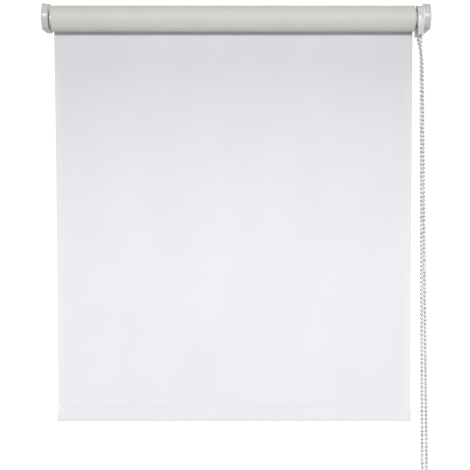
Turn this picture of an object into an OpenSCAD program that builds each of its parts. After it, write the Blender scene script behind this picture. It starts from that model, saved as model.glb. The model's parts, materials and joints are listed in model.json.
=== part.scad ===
// Chain-operated roller blind for a face-fixed pair of brackets.
// Frame: origin on the wall plane, midway between the brackets and level with
// the roller's axis; +X runs along the roller to the chain end, -Y points into
// the room, +Z is up. Millimetres.

/* [Fabric] */
// Width of the fabric
fabric_w = 537; // [300:1:1200]
// Fabric let down below the roller's axis, to the weld of the hem
sheet_drop = 582.5; // [300:0.5:1400]
// How far the left edge draws in between the roll and the hem
draw_in_l = 4.5; // [0:0.5:8]
// How far the right edge draws in between the roll and the hem
draw_in_r = 1; // [0:0.5:8]
// Thickness of the fabric
fabric_t = 0.42; // [0.25:0.01:0.6]
// Air left between two wound layers
layer_gap = 0.02; // [0.01:0.01:0.06]
// Radius over the outermost wound layer
roll_r = 19.5; // [17:0.1:21]

/* [Hem] */
// Height of the flat bar in the hem
bar_h = 19.4; // [14:0.2:26]
// Thickness of the hem bar
bar_t = 3; // [2:0.1:5]
// How far an end cap grips the hem
cap_grip = 3; // [2:0.5:8]
// End wall of a hem end cap
cap_wall = 1.6; // [1:0.1:3]
// Wall of a hem end cap in front of and behind the hem
cap_cheek = 1; // [0.8:0.1:2]
// How far an end cap stands above the hem
cap_rise = 4.6; // [2:0.2:8]

/* [Roller] */
// Outer radius of the tube
tube_r = 14; // [12:0.5:15.5]
// Wall of the tube
tube_wall = 1; // [0.8:0.1:1.5]
// How far the tube ends inside each edge of the fabric
tube_inset = 1; // [0:0.5:4]
// Thickness of the strip that bonds the fabric to the tube
strip_t = 0.2; // [0.1:0.05:0.3]
// Part of the tube's turn that the strip covers, in degrees
strip_arc = 46; // [20:2:80]
// Depth that the plugs reach into the tube
plug_depth = 35; // [33:1:60]
// Ribs round each plug
rib_n = 8; // [4:1:12]
// Thickness of a plug rib
rib_t = 1.6; // [1:0.1:2.5]

/* [Brackets] */
// Distance of the roller's axis from the wall
axis_out = 42; // [36:0.5:60]
// Thickness of the bracket plates
plate_t = 1.6; // [1.2:0.1:3]
// Width of the flange against the wall
flange_w = 15.5; // [14:0.5:20]
// Lower edge of the wall flange
flange_lo = -14; // [-15:0.5:-13]
// Upper edge of the wall flange
flange_hi = 18; // [13:0.5:20]
// Radius of a wall screw hole
screw_hole_r = 2.25; // [2:0.25:2.6]
// Distance of the screw holes from the bracket plate
hole_in = 8.5; // [7:0.5:10]
// Height of the screw holes above and below the axis
hole_up = 9; // [7:0.5:10]
// Radius of the covers' round nose
nose_r = 20; // [18:0.5:24]
// Height of the covers' middle above the roller's axis
cover_up = 3; // [0:0.5:4]
// How far the nose's centre lies behind the roller's axis
nose_back = 1.5; // [0:0.5:4]
// Depth of a cover past the bracket plate's inner face
cover_d = 9.5; // [8.5:0.1:14]
// Wall of the covers
cover_wall = 1.6; // [1.2:0.1:2.5]

/* [Idle end] */
// Gap from the bracket plate to the fabric's edge
idle_gap = 4.6; // [4.5:0.1:10]
// Radius of the plug's boss
boss_r = 11.3; // [8:0.1:12]
// Radius of the spring pin
pin_r = 3; // [2:0.1:4]
// How far the pin reaches past the inside of the bracket plate
pin_reach = 5.1; // [4:0.1:7]
// Travel of the pin into the plug
pin_travel = 6; // [5.5:0.1:7.5]
// Wire radius of the pin's spring
spring_wire_r = 0.45; // [0.3:0.05:0.6]
// Turns of the pin's spring
spring_turns = 8; // [5:1:10]

/* [Chain drive] */
// Gap from the bracket plate to the fabric's edge
drive_gap = 13.4; // [12.8:0.1:20]
// Diameter of a chain bead
bead_d = 4.5; // [4:0.1:4.6]
// Distance from bead to bead
bead_pitch = 6; // [5.8:0.1:6.2]
// Beads round the sprocket
sprocket_n = 16; // [14:1:16]
// Width of the sprocket's wheel
sprocket_w = 6; // [5:0.1:7]
// Radius of the fixed core
core_r = 7; // [6:0.1:7.5]
// Thickness of the core's base disc
base_t = 2; // [1.5:0.1:3]
// Wall of the chain guard
guard_wall = 1.3; // [1:0.1:2]
// Outer radius of the chain guard
guard_r = 20.2; // [20:0.1:24]
// Lower edge of the chain guard
guard_low = -26; // [-34:0.5:-24]
// Radius of the guard's opening for the hub
guard_hole_r = 13.2; // [12.8:0.1:14]
// Radius of the hub's neck
neck_r = 11.5; // [11.2:0.1:12]
// Wire of the wrap springs, across the coil
wrap_wire = 1; // [0.8:0.05:1]
// Turns in each wrap spring
wrap_turns = 8; // [5:1:9]

/* [Fits] */
// Radial clearance of a part that turns or slides
run_fit = 0.05; // [0.03:0.01:0.09]
// Clearance between parts that only go together
part_gap = 0.1; // [0.05:0.05:0.15]
// Clearance beside a wheel or disc that turns
side_gap = 0.4; // [0.3:0.05:0.5]

/* [Hidden] */
$fn = 96;

// Places along X
half_span = (idle_gap + fabric_w + drive_gap) / 2;
plate_l = -half_span;
plate_r = half_span;
fabric_l = plate_l + idle_gap;
fabric_e = fabric_l + fabric_w;
tube_l = fabric_l + tube_inset;
tube_e = fabric_e - tube_inset;
base_x = plate_r - base_t;
bead_x = base_x - side_gap - sprocket_w / 2;
wheel_x = bead_x - sprocket_w / 2;
guard_gap = 0.6;
guard_x = wheel_x - guard_gap - guard_wall;

// Places round the axis
axis_y = -axis_out;
nose_out = axis_out - nose_back;
layer = fabric_t + layer_gap;
sheet_y = axis_y + roll_r - fabric_t / 2;
strip_r = tube_r + strip_t;
pack_gap = 0.14;
pack_r = roll_r - layer - fabric_t - pack_gap;
bore_r = tube_r - tube_wall;
rib_r = bore_r - part_gap / 2;
rib_h = 0.8;
body_r = bore_r - rib_h;
bead_r = bead_d / 2;
sprocket_r = bead_pitch / (2 * sin(180 / sprocket_n));
guard_in_r = guard_r - guard_wall;
guard_floor = guard_low + guard_wall;

// Turn of the fabric's outermost layer, in degrees and steps
last_turn = 350;
turn_step = 5;

// Hem
pocket_t = bar_t + 2 * part_gap;
pocket_h = bar_h + 2 * part_gap;
hem_t = pocket_t + 2 * fabric_t;
hem_h = pocket_h + 2 * fabric_t;
hem_top = -sheet_drop - part_gap;
hem_mid = hem_top - hem_h / 2;
hem_y = sheet_y + (hem_t - fabric_t) / 2;
hem_l = fabric_l + draw_in_l;
hem_e = fabric_e - draw_in_r;
hem_w = hem_e - hem_l;
cap_t = hem_t + 2 * part_gap + 2 * cap_cheek;
cap_foot = 0.7;
cap_top = hem_top + cap_rise;
cap_low = hem_top - hem_h - cap_foot;
sheet_slot = fabric_t + 6 * part_gap;
edge_gap = 0.3;

// Idle end
boss_gap = 1.6;
boss_x = plate_l + boss_gap;
flange_t = 1.5;
pin_tip = plate_l - pin_reach;
chamber_wall = 2.9;
chamber_x = tube_l + chamber_wall;
chamber_r = 5.2;
collar_r = 4.6;
collar_t = 2.5;
plug_end = tube_l + plug_depth;
retainer_t = 5;
retainer_lip = 1.5;
retainer_lip_r = 6.5;
tail_r = 2.2;
tail_end = plug_end - 1;
spring_r = 3.4;

// Chain drive
neck_end = wheel_x - part_gap;
hub_end = tube_e - plug_depth + 4;
sleeve_in = core_r + run_fit + wrap_wire + 0.2;
sleeve_out = neck_r - 1.8;
sleeve_end = hub_end + 7;
wrap_x = tube_e - part_gap;
wrap_pitch = wrap_wire + 0.15;
wrap_len = wrap_turns * wrap_pitch;
wrap_space = 1;
core_end = hub_end - 4;
clip_t = 0.7;
clip_x = hub_end - side_gap - clip_t;
clip_r = 9;
groove_r = core_r - 1;
spigot = 9.8;
screw_r = 1.75;
screw_len = 14;
washer_r = 8;
washer_t = 1;
head_r = 3.5;
head_t = 2.5;
peg_r = 1.55;
peg_out = 20;
peg_up = 11;

// Chain: the free strand leaves the guard at the front, hangs in a loop and
// goes back in at the rear. Points along its middle, from the sprocket's middle.
chain_route = [
    [0, -15.4, -27], [0.1, -15.4, -60], [0.5, -15.4, -120],
    [1.1, -15.3, -200], [2, -15.2, -335], [3.1, -15, -470],
    [4.7, -14.5, -640], [6, -13.6, -710], [6.5, -13.2, -745],
    [7.1, -11.3, -752.4], [8.8, -6.2, -757.7], [11.1, 0.8, -759.7],
    [13.4, 7.8, -757.7], [15.1, 12.8, -752.4], [15.7, 14.8, -745],
    [15.6, 15.1, -710], [15.1, 15.3, -640], [12.6, 15.4, -480],
    [10.4, 15.4, -335], [8.5, 15.4, -200], [7.4, 15.4, -120],
    [6.6, 15.4, -70], [4.6, 15.4, -50], [1.4, 15.4, -38], [0, 15.4, -31],
    [0, 15.4, -27]
];
chain_top = -27;
ring_step = 20;
chain_sides = 8;
link_r = 0.7;
link_sink = 0.75;
// Turn of each ball about X, its poles on the wheel's axis
ball_turn = 130;
clasp_x = 15.6;
clasp_y = 15.1;
clasp_top = -694;
clasp_len = 17;
clasp_r = 3.4;

// ---- helpers ------------------------------------------------------------

// Extrudes a Y-Z outline along X
module along_x(x, length) {
    translate([x, 0, 0])
        rotate([90, 0, 90])
            linear_extrude(length)
                children();
}

// Round bar on the roller's axis
module bar_x(x, length, r) {
    along_x(x, length)
        translate([axis_y, 0])
            circle(r);
}

// Straight bar with full-round ends, as a Y-Z outline
module stadium(t, h) {
    square([t, h - t], center = true);
    for (side = [-1, 1])
        translate([0, side * (h - t) / 2])
            circle(t / 2);
}

// Outline of a cover: a round nose on a block that runs back to the wall
module nose_outline(inset = 0) {
    translate([-nose_out, cover_up])
        circle(nose_r - inset);
    translate([-nose_out, cover_up - nose_r + inset])
        square([nose_out, 2 * (nose_r - inset)]);
}

// Outline of the chain guard: round above, straight to its lower edge
module guard_outline(r, low) {
    translate([axis_y, 0])
        circle(r);
    translate([axis_y - r, low])
        square([2 * r, -low]);
}

// Point t of the way from point i to the next on a smooth curve
function curve(p, i, t) =
    let (a = p[max(i - 1, 0)], b = p[i], c = p[i + 1], d = p[min(i + 2, len(p) - 1)])
    0.5 * (2 * b + (c - a) * t + (2 * a - 5 * b + 4 * c - d) * t * t
        + (3 * b - a - 3 * c + d) * t * t * t);

// Points spaced along the smooth curve through p
function along(p, gap) = [
    for (i = [0:len(p) - 2])
        let (n = max(1, round(norm(p[i + 1] - p[i]) / gap)))
        for (k = [0:n - 1])
            curve(p, i, k / n),
    p[len(p) - 1]
];

function unit(v) = v / norm(v);

// Direction of a path at point i
function heading(p, i) = unit(p[min(i + 1, len(p) - 1)] - p[max(i - 1, 0)]);

// Round tube swept along a path that never runs along X
module swept_tube(p, r, sides) {
    n = len(p);
    points = [
        for (i = [0:n - 1])
            let (u = unit(cross(heading(p, i), [1, 0, 0])), v = cross(heading(p, i), u))
            for (k = [0:sides - 1])
                p[i] + r * (cos(360 * k / sides) * u + sin(360 * k / sides) * v)
    ];
    skin = [
        for (i = [0:n - 2])
            for (k = [0:sides - 1])
                let (a = i * sides + k, b = i * sides + (k + 1) % sides)
                each [[a, a + sides, b + sides], [a, b + sides, b]]
    ];
    first = [for (k = [0:sides - 1]) k];
    last = [for (k = [sides - 1:-1:0]) (n - 1) * sides + k];
    polyhedron(points = points, faces = concat(skin, [first, last]));
}

// ---- brackets and covers --------------------------------------------------

// Bent plate: side = -1 for the idle end, 1 for the chain end
module bracket_plate(side) {
    inner = side * half_span;
    plate_x = min(inner, inner + side * plate_t);
    foot_x = min(inner + side * plate_t, inner - side * flange_w);
    along_x(plate_x, plate_t)
        difference() {
            nose_outline(cover_wall + part_gap);
            for (z = [-peg_up, peg_up])
                translate([-peg_out, cover_up + z])
                    circle(peg_r + run_fit);
        }
    difference() {
        translate([foot_x, -plate_t, flange_lo])
            cube([flange_w + plate_t, plate_t, flange_hi - flange_lo]);
        for (z = [-hole_up, hole_up])
            translate([inner - side * hole_in, -plate_t / 2, z])
                rotate([90, 0, 0])
                    cylinder(r = screw_hole_r, h = 2 * plate_t, center = true);
    }
}

module left_bracket() {
    color("whitesmoke")
        difference() {
            bracket_plate(-1);
            bar_x(plate_l - plate_t - 1, plate_t + 2, pin_r + run_fit);
        }
}

module right_bracket() {
    hole = spigot + 2 * part_gap;
    color("whitesmoke")
        difference() {
            bracket_plate(1);
            along_x(plate_r - 1, plate_t + 2)
                translate([axis_y, 0])
                    square(hole, center = true);
        }
}

// Snap-on cover: a hollow shell, open to the roller and to the wall
module cover(side) {
    rim_x = side * half_span;
    outer_x = side * (half_span + cover_d);
    wall_x = min(outer_x, outer_x - side * cover_wall);
    inner_x = side * (half_span + plate_t);
    low_x = min(rim_x, outer_x);
    along_x(wall_x, cover_wall)
        nose_outline();
    along_x(low_x, cover_d)
        difference() {
            nose_outline();
            nose_outline(cover_wall);
            translate([-cover_wall, cover_up - nose_r + cover_wall])
                square([2 * cover_wall, 2 * (nose_r - cover_wall)]);
        }
    // Snap pegs that enter the bracket plate
    for (z = [-peg_up, peg_up])
        along_x(min(inner_x - side * plate_t, outer_x), abs(outer_x - inner_x) + plate_t)
            translate([-peg_out, cover_up + z])
                circle(peg_r);
}

module left_cover() {
    color("white")
        cover(-1);
}

module right_cover() {
    color("white")
        cover(1);
}

// ---- chain drive ------------------------------------------------------------

module clutch_core() {
    color("gainsboro")
        difference() {
            union() {
                bar_x(base_x, base_t, guard_r);
                bar_x(core_end, base_x - core_end, core_r);
                along_x(plate_r, plate_t)
                    translate([axis_y, 0])
                        square(spigot, center = true);
            }
            bar_x(plate_r + plate_t - screw_len, screw_len + 1, screw_r + run_fit);
            along_x(clip_x - part_gap / 2, clip_t + part_gap)
                translate([axis_y, 0])
                    difference() {
                        circle(core_r + 1);
                        circle(groove_r);
                    }
        }
}

module clutch_washer() {
    color("silver")
        along_x(plate_r + plate_t, washer_t)
            translate([axis_y, 0])
                difference() {
                    circle(washer_r);
                    circle(screw_r + 2 * run_fit);
                }
}

module clutch_screw() {
    seat = plate_r + plate_t + washer_t;
    slot_w = 1;
    color("silver")
        difference() {
            union() {
                bar_x(seat, head_t, head_r);
                bar_x(seat - washer_t - screw_len + 1, screw_len + washer_t - 1, screw_r);
            }
            // Cross recess
            for (turn = [0, 90])
                translate([seat + head_t, axis_y, 0])
                    rotate([turn, 0, 0])
                        cube([head_t, slot_w, head_r + 1], center = true);
        }
}

// Open ring in the core's groove that keeps the hub on
module core_clip() {
    mouth = 80;
    color("dimgray")
        along_x(clip_x, clip_t)
            translate([axis_y, 0])
                difference() {
                    circle(clip_r);
                    circle(groove_r + run_fit);
                    polygon([
                        [0, 0],
                        2 * clip_r * [sin(-mouth / 2), -cos(mouth / 2)],
                        2 * clip_r * [sin(mouth / 2), -cos(mouth / 2)]
                    ]);
                }
}

module chain_guard() {
    slot_r = bead_r + 1;
    color("white")
        difference() {
            along_x(guard_x, base_x - guard_x)
                guard_outline(guard_r, guard_low);
            along_x(guard_x + guard_wall, base_x - guard_x)
                guard_outline(guard_in_r, guard_floor);
            bar_x(guard_x - 1, guard_wall + 2, guard_hole_r);
            for (side = [-1, 1])
                translate([bead_x, axis_y + side * sprocket_r, guard_low - 1])
                    cylinder(r = slot_r, h = guard_wall + 2);
        }
}

module sprocket() {
    rim_r = sprocket_r;
    pocket_r = bead_r + part_gap;
    groove_w = 2 * (link_r + part_gap);
    window = 60;
    color("gainsboro")
        difference() {
            union() {
                bar_x(wheel_x, sprocket_w, rim_r);
                bar_x(sleeve_end, wheel_x - sleeve_end, sleeve_out);
            }
            bar_x(sleeve_end - 1, wheel_x + sprocket_w - sleeve_end + 2, core_r + run_fit);
            // Space for the wrap springs, and the window for their tails
            bar_x(sleeve_end - 1, wrap_x - sleeve_end + 1, sleeve_in);
            along_x(sleeve_end - 1, wrap_x - sleeve_end + 1)
                translate([axis_y, 0])
                    polygon([
                        [0, 0],
                        2 * sleeve_out * [-sin(window / 2), cos(window / 2)],
                        2 * sleeve_out * [sin(window / 2), cos(window / 2)]
                    ]);
            // Pockets for the beads and the groove for their links
            for (k = [0:sprocket_n - 1])
                translate([bead_x, axis_y, 0])
                    rotate([360 * k / sprocket_n, 0, 0])
                        translate([0, sprocket_r, 0])
                            rotate([ball_turn, 0, 90])
                                sphere(r = pocket_r, $fn = 48);
            along_x(bead_x - groove_w / 2, groove_w)
                translate([axis_y, 0])
                    difference() {
                        circle(rim_r + 1);
                        circle(sprocket_r * cos(180 / sprocket_n) - link_r - part_gap);
                    }
        }
}

// Ribs that hold a plug in the tube
module plug_ribs(x, length) {
    along_x(x, length)
        translate([axis_y, 0])
            intersection() {
                circle(rib_r);
                for (k = [0:rib_n - 1])
                    rotate(360 * (k + 0.5) / rib_n)
                        translate([body_r - 1, -rib_t / 2])
                            square([bore_r - body_r + 1, rib_t]);
            }
}

module drive_hub() {
    key_w = 3.4;
    key_in = sleeve_in + part_gap;
    color("whitesmoke") {
        difference() {
            union() {
                bar_x(tube_e, neck_end - tube_e, neck_r);
                bar_x(tube_e, flange_t, tube_r);
                bar_x(hub_end, tube_e - hub_end, body_r);
                plug_ribs(hub_end, tube_e - hub_end);
            }
            bar_x(hub_end - 1, neck_end - hub_end + 2, core_r + run_fit);
            bar_x(sleeve_end - part_gap, neck_end - sleeve_end + 1, sleeve_out + run_fit);
        }
        // Key that sits between the spring tails
        translate([sleeve_end + part_gap, axis_y - key_w / 2, key_in])
            cube([wrap_x - sleeve_end - 2 * part_gap, key_w, body_r - 0.5 - key_in]);
    }
}

// Two close-wound springs on the core, each with a tail at either end
module wrap_springs() {
    in_r = core_r + run_fit;
    out_r = in_r + wrap_wire;
    tail_w = 1;
    tail_at = 19;
    color("slategray")
        for (coil = [0, 1]) {
            x0 = wrap_x - part_gap - (coil + 1) * wrap_len - coil * wrap_space;
            bar = wrap_len - wrap_pitch + wrap_wire;
            difference() {
                union() {
                    bar_x(x0, bar, out_r - 0.2);
                    for (turn = [0:wrap_turns - 1])
                        bar_x(x0 + turn * wrap_pitch, wrap_wire, out_r);
                    for (end = [0, 1])
                        translate([x0 + end * (bar - wrap_wire), axis_y, 0])
                            rotate([end == 0 ? tail_at : -tail_at, 0, 0])
                                translate([0, -tail_w / 2, in_r + 0.3])
                                    cube([wrap_wire, tail_w, sleeve_out - in_r - 0.4]);
                }
                bar_x(x0 - 1, bar + 2, in_r);
            }
        }
}

// ---- roller and fabric -------------------------------------------------------

module roller_tube() {
    color("silver")
        along_x(tube_l, tube_e - tube_l)
            translate([axis_y, 0])
                difference() {
                    circle(tube_r);
                    circle(bore_r);
                }
}

module bond_strip() {
    color("khaki")
        along_x(tube_l, tube_e - tube_l)
            translate([axis_y, 0])
                intersection() {
                    difference() {
                        circle(strip_r);
                        circle(tube_r);
                    }
                    polygon([
                        [0, 0],
                        2 * strip_r * [cos(strip_arc / 2), -sin(strip_arc / 2)],
                        2 * strip_r * [cos(strip_arc / 2), sin(strip_arc / 2)]
                    ]);
                }
}

// The layers wound under the outermost one
module fabric_roll() {
    color("gainsboro")
        along_x(fabric_l, fabric_w)
            translate([axis_y, 0])
                difference() {
                    circle(pack_r);
                    circle(strip_r);
                }
}

// Point on the outermost layer, whose radius falls by one layer a turn
function layer_point(turn, depth) =
    (roll_r - layer * turn / 360 - depth) * [cos(turn), sin(turn)] + [axis_y, 0];

// The outermost layer and the sheet that hangs from the back of the roll
module fabric_sheet() {
    outer = [for (a = [0:turn_step:last_turn]) layer_point(a, 0)];
    inner = [for (a = [last_turn:-turn_step:0]) layer_point(a, fabric_t)];
    color("white")
        difference() {
            along_x(fabric_l, fabric_w)
                polygon(concat(
                    [[axis_y + roll_r, -sheet_drop]],
                    outer,
                    inner,
                    [[axis_y + roll_r - fabric_t, -sheet_drop]]
                ));
            edge_trim(fabric_l, -1, draw_in_l);
            edge_trim(fabric_e, 1, draw_in_r);
        }
}

// Wedge outside the slanting edge of the hanging sheet
module edge_trim(edge, side, draw_in) {
    depth = 4 * fabric_t;
    translate([0, sheet_y + depth / 2, 0])
        rotate([90, 0, 0])
            linear_extrude(depth)
                polygon([
                    [edge, -roll_r],
                    [edge - side * draw_in, cap_top],
                    [edge - side * draw_in, -sheet_drop - 1],
                    [edge + side, -sheet_drop - 1],
                    [edge + side, -roll_r]
                ]);
}

// Folded and welded pocket, its front layer straight below the sheet
module fabric_hem() {
    color("white")
        along_x(hem_l, hem_w)
            translate([hem_y, hem_mid])
                difference() {
                    union() {
                        stadium(hem_t, hem_h);
                        translate([-hem_t / 2, 0])
                            square([fabric_t, hem_h / 2]);
                    }
                    stadium(pocket_t, pocket_h);
                }
}

module hem_bar() {
    color("silver")
        along_x(hem_l, hem_w)
            translate([hem_y, hem_mid])
                stadium(bar_t, bar_h);
}

// End cap that clips over the hem: side = -1 left, 1 right
module hem_cap(side) {
    edge = side < 0 ? hem_l : hem_e;
    deep = edge + side * edge_gap;
    outer_x = edge + side * cap_wall;
    inner_x = edge - side * cap_grip;
    slot_h = hem_h + 2 * part_gap;
    difference() {
        along_x(min(outer_x, inner_x), cap_wall + cap_grip)
            translate([hem_y - cap_t / 2, cap_low])
                square([cap_t, cap_top - cap_low]);
        along_x(min(edge, inner_x - side), cap_grip + 1)
            translate([hem_y, hem_mid])
                square([hem_t + 2 * part_gap, slot_h], center = true);
        along_x(min(deep, inner_x - side), cap_grip + edge_gap + 1)
            translate([sheet_y - sheet_slot / 2, hem_mid])
                square([sheet_slot, cap_top - hem_mid + 1]);
    }
}

module hem_cap_left() {
    color("white")
        hem_cap(-1);
}

module hem_cap_right() {
    color("white")
        hem_cap(1);
}

// ---- idle end -----------------------------------------------------------------

module idle_plug() {
    color("whitesmoke")
        difference() {
            union() {
                bar_x(boss_x, tube_l - boss_x, boss_r);
                bar_x(tube_l - flange_t, flange_t, tube_r);
                bar_x(tube_l, plug_depth, body_r);
                plug_ribs(tube_l, plug_depth);
            }
            bar_x(boss_x - 1, chamber_x - boss_x + 2, pin_r + run_fit);
            bar_x(chamber_x, plug_end - chamber_x + 1, chamber_r);
        }
}

module idle_pin() {
    color("silver") {
        bar_x(pin_tip, chamber_x + part_gap - pin_tip, pin_r);
        bar_x(chamber_x + part_gap, collar_t, collar_r);
        bar_x(chamber_x + part_gap, tail_end - chamber_x - part_gap, tail_r);
    }
}

module pin_spring() {
    x0 = chamber_x + 2 * part_gap + collar_t + spring_wire_r;
    x1 = plug_end - retainer_t - part_gap - spring_wire_r;
    steps = 10;
    n = spring_turns * steps;
    coil = [
        for (k = [0:n])
            [x0 + (x1 - x0) * k / n,
                axis_y + spring_r * cos(360 * k / steps),
                spring_r * sin(360 * k / steps)]
    ];
    color("darkgray")
        swept_tube(coil, spring_wire_r, 6);
}

// Bush that closes the spring's chamber and guides the pin's tail
module pin_retainer() {
    color("gainsboro")
        difference() {
            union() {
                bar_x(plug_end - retainer_t, retainer_t, chamber_r);
                bar_x(plug_end, retainer_lip, retainer_lip_r);
            }
            bar_x(plug_end - retainer_t - 1, retainer_t + retainer_lip + 2, tail_r + run_fit);
        }
}

// ---- chain --------------------------------------------------------------------

module bead_chain() {
    color("lightgray")
        translate([bead_x, axis_y, 0])
            swept_tube(along(chain_route, ring_step), bead_r, chain_sides);
}

// Middles of the beads inside the guard, front to rear, in the Y-Z plane of
// the chain about the roller's axis
function wrap_places() =
    let (half = sprocket_n / 2, down = floor((-chain_top - bead_r) / bead_pitch))
    concat(
        [for (k = [down:-1:1]) [-sprocket_r, -k * bead_pitch]],
        [for (k = [0:half]) sprocket_r * [-cos(180 * k / half), sin(180 * k / half)]],
        [for (k = [1:down]) [sprocket_r, -k * bead_pitch]]
    );

module wrap_beads() {
    color("lightgray")
        for (p = wrap_places())
            translate([bead_x, axis_y + p[0], p[1]])
                rotate([ball_turn, 0, 90])
                    sphere(r = bead_r, $fn = 32);
}

// Wire links between those beads, and on to the free strands
module wrap_links() {
    inside = wrap_places();
    chain = concat([[-sprocket_r, chain_top]], inside, [[sprocket_r, chain_top]]);
    last = len(chain) - 2;
    color("lightgray")
        for (k = [0:last]) {
            step = chain[k + 1] - chain[k];
            from = k == 0 ? 0 : bead_r - link_sink;
            to = norm(step) - (k == last ? 0 : bead_r - link_sink);
            translate([bead_x, axis_y + chain[k][0], chain[k][1]])
                rotate([-atan2(step[0], step[1]), 0, 0])
                    translate([0, 0, from])
                        cylinder(r = link_r, h = to - from, $fn = 24);
        }
}

// Snap clasp that joins the two ends of the chain
module chain_clasp() {
    color("whitesmoke")
        translate([bead_x + clasp_x, axis_y + clasp_y, clasp_top - clasp_len])
            cylinder(r = clasp_r, h = clasp_len);
}

left_bracket();
left_cover();
right_bracket();
right_cover();
clutch_core();
clutch_washer();
clutch_screw();
core_clip();
chain_guard();
sprocket();
drive_hub();
wrap_springs();
roller_tube();
bond_strip();
fabric_roll();
fabric_sheet();
fabric_hem();
hem_bar();
hem_cap_left();
hem_cap_right();
idle_plug();
idle_pin();
pin_spring();
pin_retainer();
bead_chain();
wrap_beads();
wrap_links();
chain_clasp();
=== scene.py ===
import json
import math

import bmesh
import bpy
from bpy.props import FloatProperty, FloatVectorProperty, PointerProperty
from mathutils import Matrix, Vector
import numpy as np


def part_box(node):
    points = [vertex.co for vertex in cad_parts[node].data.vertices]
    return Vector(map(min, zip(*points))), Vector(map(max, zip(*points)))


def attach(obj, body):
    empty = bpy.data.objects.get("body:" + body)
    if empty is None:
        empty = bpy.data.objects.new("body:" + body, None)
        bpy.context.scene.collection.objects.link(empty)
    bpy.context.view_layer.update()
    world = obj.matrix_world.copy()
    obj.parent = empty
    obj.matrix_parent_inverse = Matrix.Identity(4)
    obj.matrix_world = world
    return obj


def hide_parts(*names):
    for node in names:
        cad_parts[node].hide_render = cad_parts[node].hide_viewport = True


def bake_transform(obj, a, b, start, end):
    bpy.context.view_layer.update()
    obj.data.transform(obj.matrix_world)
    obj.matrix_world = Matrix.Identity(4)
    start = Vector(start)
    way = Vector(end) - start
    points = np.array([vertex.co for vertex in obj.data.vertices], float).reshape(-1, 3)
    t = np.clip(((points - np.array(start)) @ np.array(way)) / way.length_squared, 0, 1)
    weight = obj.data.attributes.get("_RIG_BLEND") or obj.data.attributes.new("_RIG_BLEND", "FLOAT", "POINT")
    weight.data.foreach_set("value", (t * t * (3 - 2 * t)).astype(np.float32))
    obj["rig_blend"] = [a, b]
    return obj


bl_info = {
    "name": "Roller Blind",
    "version": (1, 0, 0),
    "blender": (4, 5, 0),
    "location": "View3D > Sidebar > Roller Blind",
    "description": "Models and finishes a chain-operated roller blind round its frame",
    "category": "Object",
}

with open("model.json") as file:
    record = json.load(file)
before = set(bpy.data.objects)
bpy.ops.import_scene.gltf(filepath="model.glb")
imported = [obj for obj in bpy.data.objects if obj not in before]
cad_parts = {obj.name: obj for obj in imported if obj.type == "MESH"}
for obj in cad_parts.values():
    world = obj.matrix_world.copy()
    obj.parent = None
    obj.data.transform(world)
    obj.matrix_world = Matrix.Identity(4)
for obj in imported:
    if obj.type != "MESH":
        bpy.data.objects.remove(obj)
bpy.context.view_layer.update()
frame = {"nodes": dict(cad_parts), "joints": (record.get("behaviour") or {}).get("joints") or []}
MM = 0.001
# Places that are closer than this are the same place
NEAR = 0.01 * MM

# ---- places read from the frame ----------------------------------------------


def node_box(name):
    """Lowest and highest corner of a node at rest."""
    low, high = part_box(name)
    return Vector(low), Vector(high)


def axis_of(joint_name):
    """Point on a joint's axis."""
    for joint in frame["joints"]:
        if joint["name"] == joint_name:
            return Vector(joint["pos_m"])
    raise RuntimeError("no joint named " + joint_name)


AXIS = axis_of("roller_turn")
SHEET_LOW, SHEET_HIGH = node_box("fabric_sheet")
ROLL_R = SHEET_HIGH.z
PACK_R = node_box("fabric_roll")[1].z
TUBE_R = node_box("roller_tube")[1].z
# The tape that bonds the fabric to the tube lifts the first layer by this much
STRIP_T = 0.2 * MM
HEM_LOW, HEM_HIGH = node_box("fabric_hem")
CAP_TOP = node_box("hem_cap_left")[1].z

# The chain's free run from the sprocket's middle, in millimetres, front to rear
CHAIN_ROUTE = (
    (0, -15.4, -27), (0.1, -15.4, -60), (0.5, -15.4, -120),
    (1.1, -15.3, -200), (2, -15.2, -335), (3.1, -15, -470),
    (4.7, -14.5, -640), (6, -13.6, -710), (6.5, -13.2, -745),
    (7.1, -11.3, -752.4), (8.8, -6.2, -757.7), (11.1, 0.8, -759.7),
    (13.4, 7.8, -757.7), (15.1, 12.8, -752.4), (15.7, 14.8, -745),
    (15.6, 15.1, -710), (15.1, 15.3, -640), (12.6, 15.4, -480),
    (10.4, 15.4, -335), (8.5, 15.4, -200), (7.4, 15.4, -120),
    (6.6, 15.4, -70), (4.6, 15.4, -50), (1.4, 15.4, -38), (0, 15.4, -31),
    (0, 15.4, -27),
)

# ---- settings a user would change ---------------------------------------------


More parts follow.
